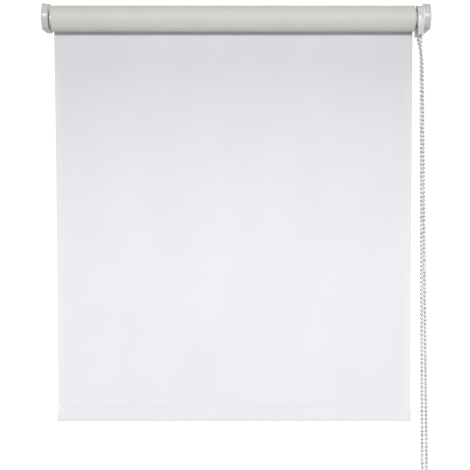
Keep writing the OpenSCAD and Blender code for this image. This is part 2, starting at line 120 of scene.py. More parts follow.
class BlindSizes(bpy.types.PropertyGroup):
    """Sizes of the parts that the frame leaves to the finish"""

    fabric_t: FloatProperty(
        name="Fabric thickness", description="Thickness of the blind's fabric",
        default=0.42 * MM, min=0.2 * MM, max=0.8 * MM, unit="LENGTH", precision=5)
    layer_gap: FloatProperty(
        name="Layer gap", description="Air between two wound layers",
        default=0.02 * MM, min=0.0, max=0.1 * MM, unit="LENGTH", precision=5)
    thread: FloatProperty(
        name="Thread spacing", description="Distance between two threads of the weave",
        default=0.55 * MM, min=0.2 * MM, max=2 * MM, unit="LENGTH", precision=5)
    bead_d: FloatProperty(
        name="Bead diameter", description="Diameter of a chain bead",
        default=4.5 * MM, min=3 * MM, max=6 * MM, unit="LENGTH", precision=5)
    bead_pitch: FloatProperty(
        name="Bead spacing", description="Distance from bead to bead",
        default=6 * MM, min=4 * MM, max=8 * MM, unit="LENGTH", precision=5)
    link_d: FloatProperty(
        name="Link diameter", description="Diameter of the wire between two beads",
        default=1.3 * MM, min=0.8 * MM, max=2 * MM, unit="LENGTH", precision=5)
    spring_wire: FloatProperty(
        name="Spring wire", description="Thickness of the idle pin's spring wire",
        default=0.9 * MM, min=0.5 * MM, max=1.2 * MM, unit="LENGTH", precision=5)
    cover_wall: FloatProperty(
        name="Cover wall", description="Wall thickness of the bracket covers",
        default=1.6 * MM, min=1 * MM, max=3 * MM, unit="LENGTH", precision=5)
    cover_round: FloatProperty(
        name="Cover rounding", description="Rounding of the covers' outer edge",
        default=1.3 * MM, min=0.2 * MM, max=3 * MM, unit="LENGTH", precision=5)
    guard_wall: FloatProperty(
        name="Guard wall", description="Wall thickness of the chain guard",
        default=1.3 * MM, min=0.8 * MM, max=2 * MM, unit="LENGTH", precision=5)
    guard_round: FloatProperty(
        name="Guard rounding", description="Rounding of the guard's edge",
        default=0.7 * MM, min=0.2 * MM, max=2 * MM, unit="LENGTH", precision=5)


class BlindColours(bpy.types.PropertyGroup):
    """Colours of the blind's finishes"""

    cloth: FloatVectorProperty(
        name="Cloth", description="Room side of the fabric", subtype="COLOR",
        default=(0.665, 0.675, 0.707), min=0.0, max=1.0)
    coating: FloatVectorProperty(
        name="Coating", description="Window side of the fabric, outermost on the roll", subtype="COLOR",
        default=(0.607, 0.597, 0.56), min=0.0, max=1.0)
    cover: FloatVectorProperty(
        name="Covers", description="Plastic of the bracket covers", subtype="COLOR",
        default=(0.55, 0.56, 0.55), min=0.0, max=1.0)
    guard: FloatVectorProperty(
        name="Guard", description="Plastic of the chain guard", subtype="COLOR",
        default=(0.585, 0.595, 0.585), min=0.0, max=1.0)
    hem_cap: FloatVectorProperty(
        name="Hem caps", description="Plastic of the hem's end caps", subtype="COLOR",
        default=(0.69, 0.70, 0.72), min=0.0, max=1.0)
    moulding: FloatVectorProperty(
        name="Mouldings", description="Plastic of the plugs and the clutch", subtype="COLOR",
        default=(0.70, 0.71, 0.71), min=0.0, max=1.0)
    chain: FloatVectorProperty(
        name="Chain", description="Metal of the bead chain", subtype="COLOR",
        default=(0.52, 0.51, 0.50), min=0.0, max=1.0)


def sizes():
    """The sizes that the user has set."""
    return bpy.context.scene.blind_sizes


def colours():
    """The colours that the user has set."""
    return bpy.context.scene.blind_colours


# Colours of the parts inside, which no setting changes
ZINC = (0.62, 0.63, 0.65)
SPRING_STEEL = (0.36, 0.37, 0.39)
ALUMINIUM = (0.74, 0.75, 0.77)
GREY_PLASTIC = (0.36, 0.37, 0.39)
BRACKET_PAINT = (0.74, 0.75, 0.74)
TAPE = (0.66, 0.6, 0.45)
CLASP_PLASTIC = (0.80, 0.82, 0.83)


# ---- modelling helpers ---------------------------------------------------------


def nothing_selected():
    """Leaves edit mode and deselects everything."""
    if bpy.context.object and bpy.context.object.mode != "OBJECT":
        bpy.ops.object.mode_set(mode="OBJECT")
    bpy.ops.object.select_all(action="DESELECT")


def only(obj):
    """Selects one object and makes it the active one."""
    nothing_selected()
    obj.select_set(True)
    bpy.context.view_layer.objects.active = obj


def settle(obj):
    """Moves an object's place into its mesh."""
    only(obj)
    bpy.ops.object.transform_apply(location=True, rotation=True, scale=True)


def edit(obj):
    """Opens an object in edit mode with nothing selected."""
    only(obj)
    bpy.ops.object.mode_set(mode="EDIT")
    bpy.ops.mesh.select_all(action="DESELECT")


def done():
    """Leaves edit mode."""
    bpy.ops.object.mode_set(mode="OBJECT")


def pick_faces(obj, wanted):
    """In edit mode, selects the faces whose centre and normal are wanted."""
    bpy.ops.mesh.select_mode(type="FACE")
    bpy.ops.mesh.select_all(action="DESELECT")
    mesh = bmesh.from_edit_mesh(obj.data)
    mesh.faces.ensure_lookup_table()
    for face in mesh.faces:
        if wanted(face.calc_center_median(), face.normal):
            face.select_set(True)
    bmesh.update_edit_mesh(obj.data)


def pick_edges(obj, wanted):
    """In edit mode, selects the edges that are wanted by their two ends and themselves."""
    bpy.ops.mesh.select_mode(type="EDGE")
    bpy.ops.mesh.select_all(action="DESELECT")
    mesh = bmesh.from_edit_mesh(obj.data)
    mesh.edges.ensure_lookup_table()
    for edge in mesh.edges:
        if wanted(edge.verts[0].co, edge.verts[1].co, edge):
            edge.select_set(True)
    bmesh.update_edit_mesh(obj.data)


def bar_along_x(name, x0, x1, centre, radius, sides=96):
    """Round bar along X as a primitive, with its place in its mesh."""
    nothing_selected()
    bpy.ops.mesh.primitive_cylinder_add(
        vertices=sides, radius=radius, depth=abs(x1 - x0),
        location=((x0 + x1) / 2, centre[0], centre[1]), rotation=(0, math.pi / 2, 0))
    bar = bpy.context.object
    bar.name = name
    settle(bar)
    return bar


def block(name, low, high):
    """Box primitive between two corners."""
    nothing_selected()
    low, high = Vector(low), Vector(high)
    bpy.ops.mesh.primitive_cube_add(size=1, location=(low + high) / 2)
    box = bpy.context.object
    box.name = name
    box.scale = high - low
    settle(box)
    return box


def apply_modifier(obj, kind, name, **settings):
    """Adds a modifier and makes its result the object's own mesh."""
    only(obj)
    modifier = obj.modifiers.new(name, kind)
    for key, value in settings.items():
        setattr(modifier, key, value)
    bpy.ops.object.modifier_apply(modifier=modifier.name)


def cut_away(obj, cutter):
    """Takes a cutter's shape out of a piece and removes the cutter."""
    apply_modifier(obj, "BOOLEAN", "cut", operation="DIFFERENCE", solver="EXACT", object=cutter)
    bpy.data.objects.remove(cutter, do_unlink=True)


def smooth(obj, degrees):
    """Shades a piece smooth, apart from edges sharper than an angle."""
    only(obj)
    bpy.ops.object.shade_smooth_by_angle(angle=math.radians(degrees))


def soften(obj, width, segments=2, angle=50):
    """Rounds the sharp edges of a piece and smooths its shading."""
    apply_modifier(
        obj, "BEVEL", "soften", width=width, segments=segments,
        limit_method="ANGLE", angle_limit=math.radians(angle), harden_normals=False)
    smooth(obj, 40)


def turn_faces_out(obj, merge=False):
    """Turns a closed mesh's faces outwards, after merging its doubled points when asked."""
    edit(obj)
    bpy.ops.mesh.select_all(action="SELECT")
    if merge:
        bpy.ops.mesh.remove_doubles(threshold=0.001 * MM)
    bpy.ops.mesh.normals_make_consistent(inside=False)
    done()


def turn_shell_out(shell, open_way):
    """Makes the faces of a shell that is open one way point away from its hollow."""
    mesh = shell.data
    middle = sum((v.co for v in mesh.vertices), Vector()) / len(mesh.vertices)
    inside = middle + open_way * 4 * MM
    outward = sum((p.center - inside).dot(p.normal) * p.area for p in mesh.polygons)
    if outward < 0:
        edit(shell)
        bpy.ops.mesh.select_all(action="SELECT")
        bpy.ops.mesh.flip_normals()
        done()


def even_blend(piece, axis, start, end):
    """Spreads a blended piece's stretch evenly along one axis."""
    weights = piece.data.attributes["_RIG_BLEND"]
    for vertex, weight in zip(piece.data.vertices, weights.data):
        weight.value = min(1.0, max(0.0, (vertex.co[axis] - start) / (end - start)))


def new_piece(name, points, faces):
    """A mesh piece from its own points and faces."""
    mesh = bpy.data.meshes.new(name)
    mesh.from_pydata(points, [], faces)
    mesh.update()
    piece = bpy.data.objects.new(name, mesh)
    bpy.context.scene.collection.objects.link(piece)
    return piece


def dress(obj, *materials):
    """Gives an object its materials, in place of any that it has."""
    obj.data.materials.clear()
    for material in materials:
        obj.data.materials.append(material)


# ---- finishes --------------------------------------------------------------------


class Finish:
    """A node material under construction."""

    def __init__(self, name):
        self.material = bpy.data.materials.new(name)
        self.material.use_nodes = True
        self.nodes = self.material.node_tree.nodes
        self.links = self.material.node_tree.links
        self.shader = self.nodes["Principled BSDF"]
        self.where = self.nodes.new("ShaderNodeTexCoord")
        self.place = self.where.outputs["Object"]

    def use_uv(self):
        self.place = self.where.outputs["UV"]

    def noise(self, size, detail=3.0, stretch=(1, 1, 1)):
        """Noise whose blotches are about size metres wide."""
        mapping = self.nodes.new("ShaderNodeMapping")
        mapping.inputs["Scale"].default_value = stretch
        self.links.new(self.place, mapping.inputs["Vector"])
        noise = self.nodes.new("ShaderNodeTexNoise")
        noise.inputs["Scale"].default_value = 1 / size
        noise.inputs["Detail"].default_value = detail
        self.links.new(mapping.outputs["Vector"], noise.inputs["Vector"])
        return noise.outputs["Fac"]

    def ramp(self, value, low, high, at=(0.35, 0.65)):
        """Turns a value into a colour between two."""
        ramp = self.nodes.new("ShaderNodeValToRGB")
        ramp.color_ramp.elements[0].position = at[0]
        ramp.color_ramp.elements[1].position = at[1]
        ramp.color_ramp.elements[0].color = (*low, 1)
        ramp.color_ramp.elements[1].color = (*high, 1)
        self.links.new(value, ramp.inputs["Fac"])
        return ramp.outputs["Color"]

    def spread(self, value, low, high):
        """Maps a value from 0..1 to low..high."""
        spread = self.nodes.new("ShaderNodeMapRange")
        spread.inputs["To Min"].default_value = low
        spread.inputs["To Max"].default_value = high
        self.links.new(value, spread.inputs["Value"])
        return spread.outputs["Result"]

    def maths(self, operation, a, b=0):
        """A Math node on two numbers or sockets."""
        node = self.nodes.new("ShaderNodeMath")
        node.operation = operation
        for socket, value in zip(node.inputs, (a, b)):
            if isinstance(value, (int, float)):
                socket.default_value = value
            else:
                self.links.new(value, socket)
        return node.outputs[0]

    def blend_colours(self, fac, a, b):
        """A colour that goes from a to b as fac goes from 0 to 1."""
        mix = self.nodes.new("ShaderNodeMix")
        mix.data_type = "RGBA"
        self.links.new(fac, mix.inputs["Factor"])
        for socket, value in ((mix.inputs[6], a), (mix.inputs[7], b)):
            if isinstance(value, tuple):
                socket.default_value = (*value, 1)
            else:
                self.links.new(value, socket)
        return mix.outputs[2]

    def bump(self, height, depth, strength):
        bump = self.nodes.new("ShaderNodeBump")
        bump.inputs["Strength"].default_value = strength
        bump.inputs["Distance"].default_value = depth
        self.links.new(height, bump.inputs["Height"])
        self.links.new(bump.outputs["Normal"], self.shader.inputs["Normal"])

    def colour(self, value):
        self.links.new(value, self.shader.inputs["Base Color"])

    def rough(self, value):
        self.links.new(value, self.shader.inputs["Roughness"])

    def set(self, **values):
        for key, value in values.items():
            self.shader.inputs[key.replace("_", " ")].default_value = value


def shade(colour, factor):
    """A lighter or darker shade of a colour."""
    return tuple(min(1.0, c * factor) for c in colour)


def moulded_plastic(name, colour, roughness=0.35, coat=0.0):
    """Moulded plastic with faint clouding, a fine texture and uneven gloss."""
    f = Finish(name)
    f.colour(f.ramp(f.noise(14 * MM, 4), shade(colour, 0.965), shade(colour, 1.02)))
    f.rough(f.spread(f.noise(5 * MM, 5), roughness - 0.06, roughness + 0.08))
    f.bump(f.noise(0.35 * MM, 2), 0.012 * MM, 0.6)
    f.set(IOR=1.49, Coat_Weight=coat, Coat_Roughness=0.12)
    return f.material


def drawn_metal(name, colour, roughness=0.3, along=(0.03, 1, 1)):
    """Metal with drawing lines along X and dull patches."""
    f = Finish(name)
    lines = f.noise(0.6 * MM, 3, along)
    f.colour(f.ramp(f.noise(9 * MM, 4), shade(colour, 0.9), colour))
    f.rough(f.spread(lines, roughness - 0.08, roughness + 0.14))
    f.bump(lines, 0.01 * MM, 0.5)
    f.set(Metallic=1.0)
    return f.material


def painted_metal(name, colour):
    """Powder-coated steel with a slight orange peel."""
    f = Finish(name)
    f.colour(f.ramp(f.noise(11 * MM, 3), shade(colour, 0.97), colour))
    f.rough(f.spread(f.noise(3 * MM, 3), 0.36, 0.5))
    f.bump(f.noise(0.9 * MM, 2), 0.02 * MM, 0.7)
    return f.material


def weave_height(f, thread):
    """Height of a plain weave, 0 to 1, on a UV map in metres of cloth."""
    split = f.nodes.new("ShaderNodeSeparateXYZ")
    f.links.new(f.place, split.inputs[0])
    waves = []
    for axis in (0, 1):
        turn = f.maths("MULTIPLY", split.outputs[axis], math.pi / thread)
        waves.append(f.maths("SINE", turn))
    over = f.maths("GREATER_THAN", f.maths("MULTIPLY", *waves), 0.0)
    mix = f.nodes.new("ShaderNodeMix")
    mix.data_type = "FLOAT"
    f.links.new(over, mix.inputs["Factor"])
    for socket, wave in zip((mix.inputs[2], mix.inputs[3]), waves):
        f.links.new(f.maths("ABSOLUTE", wave), socket)
    return mix.outputs[0]


def cloth_finish(name, colour, thread, width, weld):
    """Room side: bluish white plain weave, with sealed edges and the hem's weld."""
    sealed_band, half_weld = 8.5 * MM, 1 * MM
    f = Finish(name)
    f.use_uv()
    weave = weave_height(f, thread)
    slub = f.noise(3.5 * MM, 4, (1, 0.12, 1))
    cloud = f.noise(70 * MM, 3, (1, 0.6, 1))
    base = f.ramp(cloud, shade(colour, 0.985), shade(colour, 1.01))
    base = f.blend_colours(f.spread(slub, 0.0, 0.10), base, shade(colour, 0.93))
    # Painted shade: the weave's low places, between the threads, are darkened
    base = f.blend_colours(f.spread(weave, 0.10, 0.0), base, shade(colour, 0.86))
    split = f.nodes.new("ShaderNodeSeparateXYZ")
    f.links.new(f.place, split.inputs[0])
    across, down = split.outputs[0], split.outputs[1]
    in_from_edge = f.maths("MINIMUM", across, f.maths("SUBTRACT", width, across))
    sealed = f.maths("LESS_THAN", in_from_edge, sealed_band)
    sealed_colour = (colour[0] * 1.02, colour[1] * 1.025, colour[2] * 0.96)
    base = f.blend_colours(f.maths("MULTIPLY", sealed, 0.8), base, sealed_colour)
    from_weld = f.maths("ABSOLUTE", f.maths("SUBTRACT", down, weld))
    pressed = f.maths("LESS_THAN", from_weld, half_weld)
    base = f.blend_colours(f.maths("MULTIPLY", pressed, 0.7), base, shade(colour, 0.93))
    f.colour(base)
    f.rough(f.spread(slub, 0.74, 0.86))
    f.bump(f.maths("ADD", weave, f.maths("MULTIPLY", slub, 0.6)), 0.05 * MM, 0.45)
    f.set(Sheen_Weight=0.12, Sheen_Roughness=0.5, Specular_IOR_Level=0.3)
    return f.material


def coating_finish(name, colour, thread):
    """Window side: warm light grey coating over the weave, a little smoother."""
    f = Finish(name)
    f.use_uv()
    weave = weave_height(f, thread)
    cloud = f.noise(45 * MM, 3)
    grain = f.noise(1.2 * MM, 3)
    base = f.ramp(cloud, shade(colour, 0.98), shade(colour, 1.01))
    base = f.blend_colours(f.spread(grain, 0.0, 0.10), base, shade(colour, 0.92))
    f.colour(base)
    f.rough(f.spread(grain, 0.5, 0.62))
    f.bump(f.maths("ADD", weave, grain), 0.03 * MM, 0.35)
    f.set(Specular_IOR_Level=0.4)
    return f.material


def chain_finish(name, colour):
    """Nickel-plated balls with duller, rubbed patches."""
    f = Finish(name)
    f.colour(f.ramp(f.noise(7 * MM, 3), shade(colour, 0.8), shade(colour, 1.1)))
    f.rough(f.spread(f.noise(2.5 * MM, 3), 0.24, 0.42))
    f.bump(f.noise(0.6 * MM, 2), 0.01 * MM, 0.5)
    f.set(Metallic=1.0)
    return f.material


# ---- curves ------------------------------------------------------------------------


def smooth_route(points, gap):
    """Points gap apart on the smooth curve through the given ones."""
    points = [Vector(p) for p in points]
    last = len(points) - 1
    out = []
    for i in range(last):
        a, b, c, d = points[max(i - 1, 0)], points[i], points[i + 1], points[min(i + 2, last)]
        steps = max(1, round((c - b).length / gap))
        for k in range(steps):
            t = k / steps
            out.append(0.5 * (2 * b + (c - a) * t + (2 * a - 5 * b + 4 * c - d) * t * t
                              + (3 * b - a - 3 * c + d) * t * t * t))
    out.append(points[last])
    return out


def point_at(route, far):
    """Place and heading at a distance along a route."""
    for a, b in zip(route, route[1:]):
        step = (b - a).length
        if far <= step:
            return a.lerp(b, far / step), (b - a).normalized()
        far -= step
    return route[-1], (route[-1] - route[-2]).normalized()


def route_length(route):
    """Length of a route from end to end."""
    return sum((b - a).length for a, b in zip(route, route[1:]))


# ---- operators -----------------------------------------------------------------------


class BLIND_OT_stage(bpy.types.Operator):
    """Camera, soft studio light and a plain pale floor"""

    bl_idname = "blind.stage"
    bl_label = "Studio stage"

    def execute(self, context):
        self.camera(context.scene)
        self.studio(context.scene)

        self.soft_light("strip", (0, -5, 0.75), (0, 0, -0.1), (3.6, 0.5), 155)
        self.soft_light("top", (0, -0.5, 1.5), (0, -0.45, 0), (2.4, 0.9), 9)
        self.soft_light("side", (2.0, -1.2, -0.1), (0, 0, -0.3), (0.9, 1.4), 4)
        self.soft_light("back", (0.5, 2.6, 1.3), (0, 0, -0.35), (2.4, 1.6), 60)

        # Spot that leaves the roll alone and fills the sheet below it
        place = (0, -3, 0.55)
        bpy.ops.object.light_add(type="SPOT", location=place)
        flagged = context.object
        flagged.name = "flagged fill"
        flagged.data.energy = 155
        flagged.data.shadow_soft_size = 0.25
        flagged.data.spot_size = math.radians(41)
        flagged.data.spot_blend = 0.42
        flagged.rotation_euler = self.towards(place, (0, 0, -1.22))

        bpy.ops.mesh.primitive_plane_add(size=1, location=(0, -0.6, -1.62))
        floor = context.object
        floor.name = "floor"
        floor.scale = (9, 7, 1)
        settle(floor)
        f = Finish("pale floor")
        f.colour(f.ramp(f.noise(0.8, 2), (0.86, 0.86, 0.86), (0.88, 0.88, 0.88)))
        f.set(Roughness=0.9)
        dress(floor, f.material)
        return {"FINISHED"}

    def camera(self, scene):
        """Long lens level with the fabric's upper half, tilted down a little."""
        nothing_selected()
        tilt = math.radians(90 - 1.92)
        bpy.ops.object.camera_add(location=(-1.7 * MM, -2.042, -0.2541), rotation=(tilt, 0, 0))
        camera = bpy.context.object
        camera.name = "camera"
        camera.data.sensor_width = 36.0
        camera.data.lens = 102.8
        scene.camera = camera
        scene.view_settings.view_transform = "Standard"
        scene.view_settings.look = "None"

    def studio(self, scene):
        """White surroundings: dim as light, brighter in reflections, brightest in view."""
        world = bpy.data.worlds.new("studio")
        world.use_nodes = True
        scene.world = world
        nodes, links = world.node_tree.nodes, world.node_tree.links
        shown = nodes["Background"]
        shown.inputs["Color"].default_value = (0.97, 0.98, 1.0, 1)
        shown.inputs["Strength"].default_value = 0.12
        ray = nodes.new("ShaderNodeLightPath")
        for kind, strength in (("Is Glossy Ray", 0.66), ("Is Camera Ray", 1.05)):
            white = nodes.new("ShaderNodeBackground")
            white.inputs["Color"].default_value = (1, 1, 1, 1)
            white.inputs["Strength"].default_value = strength
            mix = nodes.new("ShaderNodeMixShader")
            links.new(ray.outputs[kind], mix.inputs["Fac"])
            links.new(shown.outputs[0], mix.inputs[1])
            links.new(white.outputs[0], mix.inputs[2])
            shown = mix
        links.new(shown.outputs[0], nodes["World Output"].inputs["Surface"])

    def soft_light(self, name, place, aim, size, watts):
        """Rectangular softbox aimed at a point."""
        bpy.ops.object.light_add(type="AREA", location=place)
        lamp = bpy.context.object
        lamp.name = name
        lamp.data.shape = "RECTANGLE"
        lamp.data.size, lamp.data.size_y = size
        lamp.data.energy = watts
        lamp.rotation_euler = self.towards(place, aim)

    def towards(self, place, aim):
        """Turn of a lamp at one point that shines at another."""
        return (Vector(aim) - Vector(place)).to_track_quat("-Z", "Y").to_euler()


class BLIND_OT_chain(bpy.types.Operator):
    """Free loop of the bead chain, with its clasp"""

    bl_idname = "blind.chain"
    bl_label = "Bead chain"

    def execute(self, context):
        low, high = node_box("wrap_beads")
        start = Vector(((low.x + high.x) / 2, AXIS.y, 0))
        step_mm = 5
        route = [start + p * MM for p in smooth_route(CHAIN_ROUTE, step_mm)]
        length = route_length(route)
        steel = chain_finish("chain steel", colours().chain)
        chain = self.beads(self.bead_and_wire(), route, length)
        dress(chain, steel)
        clasp = self.clasp()
        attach(chain, "brackets")
        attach(clasp, "brackets")
        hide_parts("bead_chain")
        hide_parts("chain_clasp")
        for name in ("wrap_beads", "wrap_links"):
            dress(frame["nodes"][name], steel)
        return {"FINISHED"}

    def bead_and_wire(self):
        """One ball with the wire that goes on to the next."""
        size = sizes()
        nothing_selected()
        bpy.ops.mesh.primitive_ico_sphere_add(subdivisions=2, radius=size.bead_d / 2)
        ball = bpy.context.object
        ball.name = "ball"
        edit(ball)
        # The two ends, a little flattened where the wires go in
        pole = 0.46 * size.bead_d
        pick_edges(ball, lambda a, b, e: min(abs(a.z), abs(b.z)) > pole)
        bpy.ops.transform.resize(value=(1, 1, 0.97))
        done()
        nothing_selected()
        bpy.ops.mesh.primitive_cylinder_add(
            vertices=8, radius=size.link_d / 2, depth=size.bead_pitch, end_fill_type="NGON",
            location=(0, 0, size.bead_pitch / 2))
        wire = bpy.context.object
        settle(wire)
        only(ball)
        wire.select_set(True)
        bpy.ops.object.join()
        return ball

    def beads(self, ball, route, length):
        """Copies of the ball all along a route, half a spacing in from its ends."""
        unit = ball.data
        pitch = sizes().bead_pitch
        count = round((length - pitch) / pitch)
        gap = (length - pitch) / count
        points, faces = [], []
        for k in range(count + 1):
            place, heading = point_at(route, pitch / 2 + k * gap)
            turn = heading.to_track_quat("Z", "X").to_matrix().to_4x4()
            move = Matrix.Translation(place) @ turn
            first = len(points)
            points += [move @ v.co for v in unit.vertices]
            faces += [[first + i for i in p.vertices] for p in unit.polygons]
        chain = new_piece("chain_free_loop", points, faces)
        for polygon in chain.data.polygons:
            polygon.use_smooth = True
        bpy.data.objects.remove(ball, do_unlink=True)
        return chain

    def clasp(self):
        """Plastic barrel clasp, waisted in the middle, that joins the loop."""
        low, high = node_box("chain_clasp")
        middle = (low + high) / 2
        ring, waist = 2.2 * MM, 0.86
        nothing_selected()
        bpy.ops.mesh.primitive_cylinder_add(
            vertices=32, radius=(high.x - low.x) / 2, depth=high.z - low.z, location=middle)
        barrel = bpy.context.object
        barrel.name = "clasp_barrel"
        settle(barrel)
        edit(barrel)
        for off in (-ring, 0, ring):
            bpy.ops.mesh.select_all(action="SELECT")
            bpy.ops.mesh.bisect(plane_co=middle + Vector((0, 0, off)), plane_no=(0, 0, 1))
        pick_edges(barrel, lambda a, b, e: max(abs(a.z - middle.z), abs(b.z - middle.z)) < 0.1 * MM)
        bpy.ops.transform.resize(value=(waist, waist, 1), center_override=middle)
        done()
        soften(barrel, 0.7 * MM, 3, 35)
        dress(barrel, moulded_plastic("clasp plastic", CLASP_PLASTIC, 0.2, 0.3))
        return barrel


class BLIND_OT_fabric(bpy.types.Operator):
    """Outermost turn, hanging sheet and folded hem, one length of cloth"""

    bl_idname = "blind.fabric"
    bl_label = "Hanging fabric"

    # Degrees of the outermost turn, quads across the cloth, and its two materials
    TURN = 350
    COLUMNS = 60
    WEAVE, COATING = 0, 1

    def execute(self, context):
        size = sizes()
        line = self.centre_line(size.fabric_t)
        x0, x1 = SHEET_LOW.x, SHEET_HIGH.x
        far = [0.0]
        for a, b in zip(line, line[1:]):
            far.append(far[-1] + (b - a).length)
        faces, sides = self.faces(len(line))
        cloth = new_piece("fabric_length", self.points(line, size.fabric_t), faces)
        weld = next(at for p, at in zip(line, far) if p.y <= HEM_HIGH.z + NEAR)
        dress(cloth,
              cloth_finish("cloth weave", colours().cloth, size.thread, x1 - x0, weld),
              coating_finish("cloth coating", colours().coating, size.thread))
        layer = cloth.data.uv_layers.new(name="cloth")
        for polygon, side in zip(cloth.data.polygons, sides):
            polygon.material_index = side
            for loop in polygon.loop_indices:
                row, column = divmod(cloth.data.loops[loop].vertex_index, self.COLUMNS + 1)
                layer.data[loop].uv = ((x1 - x0) * column / self.COLUMNS, far[row % len(line)])
        turn_faces_out(cloth)
        smooth(cloth, 40)
        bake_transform(cloth, "brackets", "hem", start=(0, SHEET_HIGH.y, -0.03), end=(0, SHEET_HIGH.y, -0.576))
        even_blend(cloth, 2, -0.03, -0.576)
        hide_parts("fabric_sheet", "fabric_hem")
        return {"FINISHED"}

    def points(self, line, t):
        """Rows of points on the coated side of the centre line, then on its woven side."""
        points = []
        last = len(line) - 1
        for side in (1, -1):
            for i, p in enumerate(line):
                along = (line[min(i + 1, last)] - line[max(i - 1, 0)]).normalized()
                q = p + side * (Vector((-along.y, along.x)) * t / 2)
                left, right = self.edges(q.y)
                for c in range(self.COLUMNS + 1):
                    points.append((left + (right - left) * c / self.COLUMNS, q.x, q.y))
        return points

    def faces(self, rows):
        """Faces of the two sides, the two edges and the two ends, each with its material."""
        columns, width = self.COLUMNS, self.COLUMNS + 1
        faces, sides = [], []

        def quad(corners, side):
            faces.append(corners)
            sides.append(side)

        for i in range(rows - 1):
            for c in range(columns):
                a = i * width + c
                b = a + width
                quad((a, b, b + 1, a + 1), self.COATING)
                a += rows * width
                b += rows * width
                quad((a, a + 1, b + 1, b), self.WEAVE)
        for i in range(rows - 1):
            for c in (0, columns):
                a = i * width + c
                b, under = a + width, rows * width
                corners = (a, a + under, b + under, b) if c == 0 else (a, b, b + under, a + under)
                quad(corners, self.WEAVE)
        for i in (0, rows - 1):
            for c in range(columns):
                a = i * width + c
                b = a + rows * width
                quad((a, a + 1, b + 1, b) if i == 0 else (a, b, b + 1, a + 1), self.WEAVE)
        return faces, sides

    def centre_line(self, t):
        """Middle of the cloth in the Y-Z plane, from the roll's inside to the flap's end."""
        layer = t + sizes().layer_gap
        line = []
        for a in range(self.TURN, -1, -5):
            line.append(self.turn(AXIS.y, 0, ROLL_R - layer * a / 360 - t / 2, a))
        sheet_y = line[-1].x
        hem_y = (HEM_LOW.y + HEM_HIGH.y) / 2
        half = (HEM_HIGH.y - HEM_LOW.y) / 2 - t / 2
        top, foot = HEM_HIGH.z, HEM_LOW.z + t / 2 + half
        shoulder = top - t / 2 - half
        # Down the sheet and the pocket's straight front
        hang, front = 46, 8
        line += [Vector((sheet_y, top * k / hang)) for k in range(1, hang + 1)]
        line += [Vector((sheet_y, top + (foot - top) * k / front)) for k in range(1, front)]
        # Round under the bar, up the back and over the bar's top
        for a in range(180, 361, 18):
            line.append(self.turn(hem_y, foot, half, a))
        line += [Vector((hem_y + half, foot + (shoulder - foot) * k / front)) for k in range(1, front)]
        for a in range(0, 91, 15):
            line.append(self.turn(hem_y, shoulder, half, a))
        # The flap, welded to the back of the sheet and given in millimetres above the weld
        flap_y = sheet_y + 1.04 * t
        line += [Vector((flap_y + (hem_y - flap_y) * f, top + z * MM)) for f, z in (
            (0.5, 0.15), (0.18, 0.6), (0, 1.3), (0, 2.6), (0, 4))]
        return line

    def turn(self, y, z, radius, degrees):
        """Point on a circle in the Y-Z plane."""
        angle = math.radians(degrees)
        return Vector((y + radius * math.cos(angle), z + radius * math.sin(angle)))

    def edges(self, z):
        """Places of the cloth's two edges at a height, drawn in towards the hem."""
        fall = (-ROLL_R - z) / (-ROLL_R - CAP_TOP)
        drawn = min(1.0, max(0.0, fall)) ** 0.6
        left = SHEET_LOW.x + (HEM_LOW.x - SHEET_LOW.x) * drawn
        return left, SHEET_HIGH.x + (HEM_HIGH.x - SHEET_HIGH.x) * drawn


class BLIND_OT_wound(bpy.types.Operator):
    """Layers wound on the tube under the outermost one"""

    bl_idname = "blind.wound"
    bl_label = "Wound fabric"

    def execute(self, context):
        size = sizes()
        t = size.fabric_t
        layer = t + size.layer_gap
        low, high = node_box("fabric_roll")
        x0, x1 = low.x, high.x
        steps = 72
        total = int((PACK_R - t - TUBE_R - STRIP_T) / layer * steps)
        line = []
        for k in range(total + 1):
            line.append((PACK_R - layer * k / steps - t / 2, math.tau * k / steps))
        length = sum(math.tau / steps * r for r, a in line[1:])
        points, faces = [], []
        for r, a in line:
            for x in (x0, x1):
                for side in (t / 2, -t / 2):
                    points.append((x, AXIS.y + (r + side) * math.cos(a), (r + side) * math.sin(a)))
        for k in range(total):
            a, b = 4 * k, 4 * (k + 1)
            faces += [(a, a + 2, b + 2, b), (a + 1, b + 1, b + 3, a + 3),
                      (a, b, b + 1, a + 1), (a + 2, a + 3, b + 3, b + 2)]
        last = 4 * total
        faces += [(0, 1, 3, 2), (last, last + 2, last + 3, last + 1)]
        wound = new_piece("fabric_wound", points, faces)
        turn_faces_out(wound)
        layer_map = wound.data.uv_layers.new(name="cloth")
        for loop in wound.data.loops:
            v = loop.vertex_index
            layer_map.data[loop.index].uv = (points[v][0] - x0, length * (v // 4) / total)
        smooth(wound, 30)
        dress(wound, coating_finish("wound coating", colours().coating, size.thread))
        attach(wound, "roller")
        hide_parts("fabric_roll")
        return {"FINISHED"}


